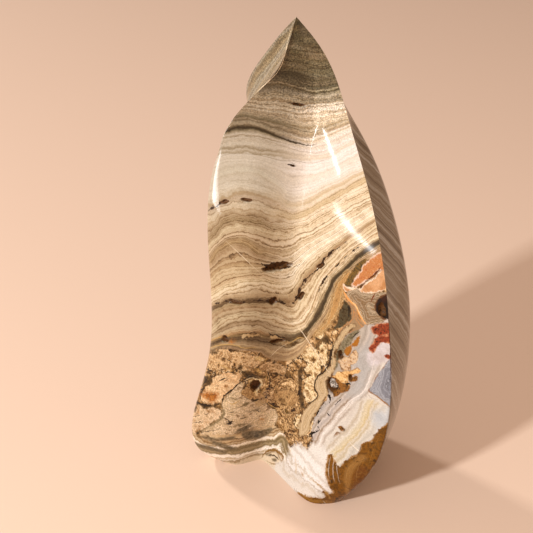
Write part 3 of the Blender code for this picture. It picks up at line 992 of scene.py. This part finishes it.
# Chalcedony: white and blue-grey agate that filled the lower right in bands, with lumps of
# cream and ochre jasper and small black holes in it.
agate_flow = bands_along("agate_flow", 3, """
    388,330 384,345 376,362 370,378 364,391 352,401 340,413 328,428 319,443 312,458
    """, """
    -10 #D0CBC2; -6 #D4CFC6; -4 #B4A99D; -2 #D2CCC4; 0 #DDD9D3; 2 #BFB5AB; 3.2 #9A8977; 4.5 #C4BAB0;
    7 #B2AAA4; 9 #CAC2BA; 11 #A09486; 13 #C2B9B0; 16 #AEA9A4; 19 #C6BEB5; 22 #A69E94; 26 #BDB5AA; 30 #AEA69A
    """)
surface = lay("chalcedony", agate_flow, """
    344,336 358,330 368,325 378,323 394,318 400,330 400,420 390,424 379,430 372,440 362,445 357,454 347,460
    340,468 333,470 325,468 316,455 312,440 313,424 320,408 328,397 327,384 334,372 336,358 340,345
    """, ragged=1.6, rim=("#8D7766", 0.3))
surface = lay("smoky_agate", "#A3A19D #B8B6B3 #ACA9A5 #BDBAB6", """
    352,356 366,346 378,350 378,364 370,376 364,392 352,399 346,392 356,376
    """, drifts, layers=3, swirl=1.4, soft=5, ragged=3)
surface = lay("grey_green", "#5F5740 #7C735A #948A72 #6F6850", """
    356,330 360,331 354,337 351,343 346,348 344,354 340,353 339,360 338,366 334,371 336,360 336,353 346,337
    """, crumbs)
surface = draw("green_slit", "#3B3422", "359,332,0.5 356,334,1 353,337,0.6")
surface = lay("ochre_streak", "#7A4F1B #B0761F #A06F2C #8E5F22", """
    360,335 359,341 357,346 352,348 351,353 347,356 345,354 345,349 351,345 355,340
    """, crumbs)
surface = lay("pale_lumps", "#8E6B42 #BF9B74 #CABAA3 #D9BE98 #C2A07A", """
    338,361 342,356 348,357 354,350 358,354 357,361 353,364 350,364 350,370 342,370 340,365
    """, crumbs, rim=("#8A6B48", 0.4))
surface = lay("orange_lumps", "#B07C3C #D3AF7B #E2C08A #D6C8A8", """
    338,372 350,371 358,368 360,372 354,374 350,377 348,381 350,385 345,386 332,377 336,375
    """, crumbs, rim=("#9A6F38", 0.4))
surface = lay("brown_rims", "#3E290F #7A5626 #9A6C30 #5A3A14", """
    327,383 329,378 334,377 339,380 342,383 350,386 348,391 342,393 338,396 334,397 332,392 329,389 /
    349,380 352,377 357,376 357,380 352,382 / 338,427 341,426 346,429 345,432 341,431 / 333,438 337,432
    343,434 340,438 336,440
    """, crumbs, ragged=0.8)
surface = draw("black_holes", "#120B04", """
    340,355,1.5 341,355,1.5 / 351,379,0.9 354,378,1.2 / 347,384,1 349,384,1 / 342,428,0.7 344,430,0.8 /
    361,441,0.9 362,441,0.9 / 328,395,0.4 330,398,0.9 330,402,0.3 / 341,399,0.5 336,404,0.5 / 323,403,0.8
    322,405,0.8 / 319,409,0.6 317,414,1.1 / 328,414,0.8 329,415,0.7 / 321,419,0.8 319,422,0.9 318,426,1.3
    319,430,1.2 316,432,1 311,434,1.1 313,439,0.8 311,444,0.6 312,449,1
    """, wobble=1.0, broken=2.0)

# The brown ribbon: a sheet that came loose and winds down from the strata beside a dark seam.
surface = lay("ribbon", "#7A5C38 #C0A680 #CDBC9E #9C8058 #D6C4A0 #B0946E", """
    356,325 345,336 339,346 334,356 336,361 332,375 327,383 328,392 326,397 318,410 312,420 308,432 299,437
    299,424 303,412 309,404 317,398 318,395 315,389 315,381 318,376 329,366 330,352 338,336 347,326
    """, drifts, layers=1.3, swirl=0.6, rim=("#6B4F2E", 0.6))
surface = draw("ribbon_seam", "#33230C", """
    334,345,0.5 331,352,1.3 330,361,1.4 327,367,1.2 323,373,0.8 318,376,0.9 315,383,0.8 315,390,0.9
    318,396,0.6 311,403,0.6
    """, wobble=1.2)


# Red jasper at the right edge, coloured by iron, and the violet panel of agate under it in its
# rusty outline.
surface = lay("lilac_agate", "#B3A8A6 #C4BCBA #CEC9CB #D6CFCB", """
    368,352 374,350 382,342 396,338 396,364 388,362 372,366 367,360
    """, drifts, soft=2, ragged=2)
surface = lay("red_jasper", "#2E140A #8E4226 #A34E2C #5E2A18 #A05430", """
    371,329 379,324 392,324 392,334 378,335 / 369,348 373,343 376,338 381,336 392,336 392,343 387,343
    382,342 378,345 374,352 371,352 / 384,356 387,355 392,356 392,359 388,359
    """, crumbs, rim=("#C08A66", 0.45))
surface = lay("violet_panel", "#5E5C60 #9096A0 #7E7F86 #AEB2BA #8E9096 #A2A5AC", """
    398,356 388,361 384,367 378,374 374,381 372,386 369,391 378,397 385,403 398,411
    """, drifts, layers=4, swirl=1.8, rim=("#8C6B55", 0.35), ragged=0.5)
surface = draw("panel_outline", "#A5814F", "369,391.6,0.3 377.6,396.9,0.5 392,408.2,0.6")
surface = draw("agate_lines", "#A08874", """
    351.5,402,0.5 342.4,412.9,0.5 333.9,419.5,0.4 / 357,404.4,0.4 353.3,406.4,0.5 350.3,410.5,0.4 /
    367.8,390.5,0.3 368.3,395,0.5 372,398,0.4 378,399.7,0.3 / 343,417,0.3 336,420.6,0.5 330,425.6,0.3
    """, soft=1.1)
surface = draw("agate_white", "#E4DFDA", """
    374,361,0.6 370,377,0.8 363,392,1 351,400,0.9 343,408,0.5 / 339,434,0.5 331,443,0.8 322,452,0.5
    """, soft=1)


# Cream chalcedony above the ochre foot. It settled in bands along the gap that it filled, and
# one of them is yellow.
cream_flow = bands_along("cream_flow", 5, """
    372,398 366,412 357,428 346,443 334,456 324,468
    """, """
    -26 #B4B9BD; -20 #C6CACB; -16 #D0CCC2; -12 #C2BEB4; -9 #D6D2C8; -6 #C2B69C; -4 #D2CBBE; -1.5 #C8B994;
    0 #D4CAB2; 2 #CBC1A8; 5 #D6D1C6; 8 #BDB2A0; 11 #D2CDC4; 16 #C8C1B8
    """)
surface = lay("cream_chalcedony", cream_flow, """
    354,404 364,400 372,400 385,406 400,412 398,424 389,425 379,430 372,440 362,445 359,451 345,462 340,468
    333,470 322,468 316,454 324,444 331,438 344,430 348,418
    """, ragged=1.6, soft=1.5)
surface = lay("blue_agate", "#AEB3B7 #C0C4C7 #CBCED0", """
    374,412 384,410 396,414 396,423 386,425 378,428 373,422
    """, drifts, soft=4, ragged=3)
surface = draw("foot_crack", "#EFE6D6", "348.9,441.8,0.3 359,451.2,0.5 370,458.4,0.3", wobble=0.3)


# The foot: white chalcedony in bands, and opaque ochre jasper that comes up into it in waves.
# The rounded lip under them is polished too.
foot_flow = bands_along("foot_flow", 7, """
    284,452 292,464 303,476 317,488 333,499
    """, """
    -24 #DAD7D1; -20 #CEC9C1; -17 #DEDCD8; -13 #E0DEDB; -10 #CBC5BC; -8 #DEDCD8; -5 #E2E0DE; -3 #C4BCAE;
    -1.5 #DCD9D4; 1 #E2E0DE; 3 #C0B8AC; 4.5 #DAD7D2; 7 #CBC3B6; 10 #D8D4CD
    """)
surface = lay("white_foot", foot_flow, """
    280,462 287,457 291,447 299,444 307,448 313,443 326,450 332,458 326,468 328,482 333,492 330,500 316,500
    300,497 286,486 272,470
    """, ragged=3, soft=2.5)
surface = draw("foot_streaks", "#C9BBA2", """
    295,455,0.6 296,464,0.9 296,473,1 / 304,466,0.4 303,474,0.7 301,480,0.5 / 310,479,0.5 315,482,0.8
    320,485,0.6
    """, soft=1.2)
surface = lay("ochre_foot", "#503408 #745010 #8A5E16 #66460E #80581A", """
    391,423 385,425 379,430 378,432 374,436 372,440 367,442 362,444 360,450 358,454 352,456 348,460 344,462
    340,467 336,464 333,456 329,454 327,459 326,469 326,475 328,481 330,487 333,492 328,494 323,491 325,498
    310,497 297,493 310,506 340,512 375,495 398,440
    """, lumps, ragged=1.8, rim=("#AC8A5E", 0.4))
surface = lay("ochre_arcs", "#7A5424 #906836 #A07C46 #8A6024", """
    362,455 352,461 346,469 344,480 345,492 349,494 351,482 353,472 359,464 367,459
    """, drifts, layers=3, soft=2.4)
surface = lay("ochre_heart", "#6A4416 #784D15 #85602C", """
    360,466 368,468 364,480 355,488 352,480 355,471
    """, crumbs, soft=2)
surface = draw("white_waves", "#D9D2C6", """
    330.4,457.4,0.5 328.8,465.9,0.6 328.4,472,0.7 329.2,479.6,0.3 / 334.8,482,0.3 333.4,477,0.7 333,467,0.7
    334.6,458,0.6 / 336.6,466.5,0.7 337.4,473,0.6 339.4,482,0.4
    """, soft=1.1, wobble=0.4)
surface = draw("tan_arcs", "#B08C52", """
    356,462,0.3 350,467,0.7 347,473,0.7 346,482,0.5 346,490,0.3 / 368,452,0.3 361,462,0.5 357,472,0.6
    356,484,0.4 / 380,436,0.3 374,448,0.5 366,474,0.3
    """, soft=1.4, wobble=0.8)
surface = draw("ochre_spots", "#4A2E0C", """
    357,462,0.8 358,462,0.8 / 364,460,0.7 365,460,0.7 / 346,487,0.5 352,490,0.7 359,489,0.4 / 336,486,0.4
    340,494,0.6 346,500,0.4
    """, soft=1, wobble=1.2)
surface = draw("foot_lip", "#96702F", """
    294,489,0.3 301,495,1.2 310,500,2.2 333,503,2.2 341,503,0.8
    """, soft=1.6, wobble=2)
surface = draw("foot_tan", "#A8854C", """
    309,479,0.4 315,482,1 320,486,0.8 326,492,1.4 330,498,0.8 / 301,471,0.3 304,477,0.6 303,483,0.4
    """, soft=1.6, wobble=1.6, broken=1.6)
surface = draw("lip_lights", "#E2DCD0", """
    324,482,0.4 328,488,0.7 333,493,0.4 / 306,501,0.3 318,505,0.5 330,507,0.3 / 324,502,0.6 325,503,0.6
    """, soft=1)

# The last marks on the sheets: rows of small slits, the thin dark lines between sheets, and
# cracks healed with quartz.
surface = draw("healed_cracks", "#E2D6BE", """
    225,240,0.2 243,257,0.4 262,275,0.2 / 295,325,0.2 301.8,331.7,0.45 309,342.4,0.5 321,360,0.45
    328.2,372,0.4 / 271.3,355.9,0.3 278,349.2,0.4 286.9,343.6,0.3
    """, wobble=0.3)
surface = draw("dark_lines", "#41361F", """
    236,127.6,0.3 252,127.5,0.9 263,131,1.1 289,140.8,1.3 300,143.5,1.1 310,145.5,0.8 320,143,0.3
    """, soft=0.9, wobble=1.0)
surface = draw("thin_lines", "#75674B", """
    238,117,0.3 260,120,0.6 280,124,0.6 295,128.6,0.7 310,132,0.6 325,128.5,0.5 345,121,0.2 / 216,158.5,0.2
    229,154,0.4 247,153.8,0.4 263,155.8,0.4 279,160,0.5 297,161,0.5 309,163,0.4 320,161.5,0.4 334,156,0.2 /
    232,205,0.2 247,203,0.4 262,206,0.4 279,210,0.4 292,216,0.2
    """, soft=0.8, wobble=0.8)
surface = draw("fine_lines", "#7D6E52", """
    255,123,0.2 276,130.6,0.4 300,137,0.5 310,138,0.5 321,135,0.4 340,128,0.2 / 226,138,0.3 243,136.5,0.4
    260,139,0.4 292,149,0.4 306,152,0.4 320,152.5,0.3 337,145,0.2 / 222,186,0.2 240,182,0.3 258,185,0.4
    272,190,0.4 284,196,0.2
    """, soft=0.8, wobble=0.8)
surface = draw("dark_slits", "#3A2510", """
    288,102,0.4 295,104,1.1 304,107,0.3 / 284,165,0.3 289,165,0.9 294,166,0.3 / 208,211,0.5 212,208,0.9
    216,207,0.6 221,203,1.1 226,202,0.8 233,200,0.2 / 256,263,0.3 272,266,2.4 293,267,0.6 300,264,0.2 /
    345,242,0.7 341,246,0.3 331,252,0.9 328,256,1 324,259,0.8 322,265,1.9 316,271,0.7 304,281,0.9
    298,295,1.4 294,302,0.8 / 213,304,0.3 219,303,1 229,301,0.5 240,302,1.1 252,301,0.5 263,301,1.2
    276,301,1 288,305,0.3 / 359,247,0.2 350,253,0.35 326,277,0.4 316,297,0.3
    """, wobble=1.2, broken=2.2)
surface = draw("dark_sheet", "#4A4028", """
    377,244,1 364,254,1.4 350,264,1.4 342,272,1.1 336,277,1 328,290,1.2 321,314,1.1 312,324,1.4 305,330,1.2
    """, soft=1.2, wobble=1.0)
surface = draw("sheet_lines", "#5E5136", """
    379,249,0.3 352,268,0.6 344,277,0.5 336,285,0.6 328,308,0.6 323,318,0.6 314,328,0.4 / 374,240,0.2
    360,249,0.5 348,259,0.5 327,281,0.6 321,293,0.5 317,306,0.6 308,317,0.5 300,322,0.3
    """, soft=0.9, wobble=1.0)


# The hidden sides: the same sheets where they come out at the back, cut across and greyer, and
# as pale as the facet near the tip.
SIDE_SHEET_MM = 5.5
SIDE_LAMINAE = 0.3
SIDE_SHADES = read_stops("0 #6F6352; 0.3 #8A7C69; 0.5 #988C79; 0.7 #A8A193; 1 #C2BFB8")
TIP_LOW = 148
TIP_HIGH = 168
TIP_SHARE = 0.6
TIP_GAIN = 1.7
side_laminae = add("Math", {0: laminae, 1: SIDE_LAMINAE}, operation="MULTIPLY")
side_tone = add("Math", {0: cloud(SIDE_SHEET_MM, W=metres_up), 1: 1 - SIDE_LAMINAE, 2: side_laminae},
                operation="MULTIPLY_ADD")
side_colour = shaded(SIDE_SHADES, side_tone)
in_tip = add("MapRange", {"Value": wavy_level, "From Min": TIP_LOW, "From Max": TIP_HIGH,
                          "To Max": TIP_SHARE})
pale_tip = add("HueSaturation", {"Value": TIP_GAIN, "Color": surface})
side_colour = add("Mix", {"Factor": in_tip, 6: side_colour, 7: pale_tip}, 2, data_type="RGBA")
surface = add("Mix", {"Factor": front_share, 6: side_colour, 7: surface}, 2, data_type="RGBA")

# The carved edges: a pale line on the left edge up to the tip is a painted highlight,
# and a thin rusty line runs down the front edge.
surface = draw("painted_edge_highlight", "#F2E2C6", """
    293.6,22,0.2 288,40,0.35 284.4,57,0.4 279,69.5,0.4 272,78,0.4 248,100,0.8 238,110,0.8 226,126,0.7
    216,146,0.5
    """, wobble=0.5)
surface = draw("rusty_edge", "#4E2E14", """
    383,246,0.3 386,270,0.6 389.6,330,0.9 390.8,370,0.6 391,405,0.4
    """, wobble=0.8)

# Grain: coarse silt that shows most in the olive tip.
GRAIN_LOW = 140
GRAIN_HIGH = 168
FAINT_GRAIN = 0.2
STRONG_GRAIN = 1.2
grain_strength = add("MapRange", {"Value": wavy_level, "From Min": GRAIN_LOW, "From Max": GRAIN_HIGH,
                                  "To Min": FAINT_GRAIN, "To Max": STRONG_GRAIN})
grain_light = add("Math", {0: sway(0, grains, 1), 1: grain_strength, 2: 1.0}, operation="MULTIPLY_ADD")
surface = add("HueSaturation", {"Value": grain_light, "Color": surface})

# Polish deepens the colours: the dark ones most.
DEEPENING = 1.18
POLISH_GAIN = 1.12
surface = add("Gamma", {"Color": surface, "Gamma": DEEPENING})
surface = add("HueSaturation", {"Value": POLISH_GAIN, "Color": surface})

# The pits are dull inside and stained dark by iron.
STAIN_START = 0.02
STAIN_FULL = 0.45
in_pit = add("Attribute", {}, "Fac", attribute_name="pit")
stained = add("MapRange", {"Value": in_pit, "From Min": STAIN_START, "From Max": STAIN_FULL})
pit_stain = spread_evenly("#2A1A0A #6B4520 #4A2E12", crumbs)
surface = add("Mix", {"Factor": stained, 6: surface, 7: pit_stain}, 2, data_type="RGBA")

# Quartz is clear and colourless: the small crystals look pale lilac-grey over the brown stone.
in_quartz = add("Attribute", {}, "Fac", attribute_name="quartz")
quartz_colour = shaded(read_stops("0.2 #857A6C; 0.5 #CFC5BA; 0.8 #EEE6DC"), crumbs)
surface = add("Mix", {"Factor": in_quartz, 6: surface, 7: quartz_colour}, 2, data_type="RGBA")

# The polish: a smooth, glassy skin on jasper, whose refraction is that of fine quartz.
JASPER_IOR = 1.54
POLISH_SHINE = 0.25
POLISHED = 0.06
DULL = 0.6
roughness = add("MapRange", {"Value": stained, "To Min": POLISHED, "To Max": DULL})
shader = add("BsdfPrincipled", {"Base Color": surface, "Roughness": roughness, "IOR": JASPER_IOR,
                                "Specular IOR Level": POLISH_SHINE})
add("OutputMaterial", {"Surface": shader})
flame.data.materials.append(jasper)
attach(flame, "root")
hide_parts("angel_jasper_flame")


# The table: a pale pinkish sheet of smooth card under the stone. It is a little darker further
# back, where less light reaches it.
TABLE_SIDE = 6.0
CARD_NEAR, NEAR_SHADE = -0.05, "#F2D7C1"
CARD_FAR, FAR_SHADE = 0.40, "#C4AD9B"
CARD_ROUGHNESS = 0.8

table_mesh = bmesh.new()
bmesh.ops.create_grid(table_mesh, x_segments=1, y_segments=1, size=TABLE_SIDE / 2)
table = make_piece("table", table_mesh)
card = bpy.data.materials.new("smooth_card")
card.use_nodes = True
card.node_tree.nodes.clear()
on_card = card.node_tree
card_place = add("SeparateXYZ", {"Vector": add("TexCoord", {}, "Object", on_card)}, "Y", on_card)
card_share = add("MapRange", {"Value": card_place, "From Min": CARD_NEAR, "From Max": CARD_FAR}, 0, on_card)
card_colour = add("Mix", {"Factor": card_share, 6: colour(NEAR_SHADE), 7: colour(FAR_SHADE)}, 2, on_card,
                  data_type="RGBA")
card_shader = add("BsdfPrincipled", {"Base Color": card_colour, "Roughness": CARD_ROUGHNESS}, 0, on_card)
add("OutputMaterial", {"Surface": card_shader}, 0, on_card)
table.data.materials.append(card)


# The light: a small bright window at the front left, a fainter one at the back left, and the
# warm light of the room from all sides.
STONE_MIDDLE = (0, 0, 0.08)
WINDOW_SIDE = 0.12


def add_window(name, place, power, shade):
    """A square area lamp at a place, turned to face the stone."""
    lamp = bpy.data.lights.new(name, "AREA")
    lamp.size = WINDOW_SIDE
    lamp.energy = power
    lamp.color = colour(shade)[:3]
    holder = bpy.data.objects.new(name, lamp)
    holder.location = place
    holder.rotation_euler = (Vector(STONE_MIDDLE) - Vector(place)).to_track_quat("-Z", "Y").to_euler()
    bpy.context.scene.collection.objects.link(holder)


add_window("left_window", (-1.185, -0.915, 1.02), 23, "#FFFFFF")
add_window("back_window", (-0.878, 0.818, 0.62), 8.6, "#FFF6EF")

# The bright streaks on the polish: narrow gaps of daylight low at the left. Nothing but the
# polish shows them. Each runs from one point to another and faces the place that mirrors it.
STREAK_SPREAD = 26
STREAKS = {
    # name: (start, end, the place that mirrors it, width), all in millimetres, and the power in watts
    "upper_streak": ((-62.7, -38.6, 93), (-60.5, -42.3, 83.4), (8.5, -2.5, 150), 1.1, 3e-5),
    "lower_streak": ((-65, -42.6, 73.2), (-52, -58, 65), (18, -9, 118), 0.7, 4e-5),
    "left_glow": ((-116.5, 5, 112), (-116.5, 5, 73), (-36, 10, 130), 34, 0.0018),
}
for name, (start, end, aim, width, power) in STREAKS.items():
    start, end, aim = Vector(start) * MM, Vector(end) * MM, Vector(aim) * MM
    lamp = bpy.data.lights.new(name, "AREA")
    lamp.shape = "RECTANGLE"
    lamp.size, lamp.size_y = width * MM, (end - start).length
    lamp.energy = power
    lamp.spread = radians(STREAK_SPREAD)
    holder = bpy.data.objects.new(name, lamp)
    middle = (start + end) / 2
    back = (middle - aim).normalized()
    side = (end - start).cross(back).normalized()
    turn = Matrix((side, back.cross(side), back)).transposed().to_4x4()
    holder.matrix_world = Matrix.Translation(middle) @ turn
    holder.visible_diffuse = False
    holder.visible_camera = False
    bpy.context.scene.collection.objects.link(holder)

ROOM_GLOW = 0.51
room = bpy.data.worlds.new("warm_room")
room.use_nodes = True
backdrop = room.node_tree.nodes["Background"]
backdrop.inputs["Color"].default_value = colour("#FFDEC7")
backdrop.inputs["Strength"].default_value = ROOM_GLOW
bpy.context.scene.world = room
bpy.context.scene.view_settings.view_transform = "Standard"
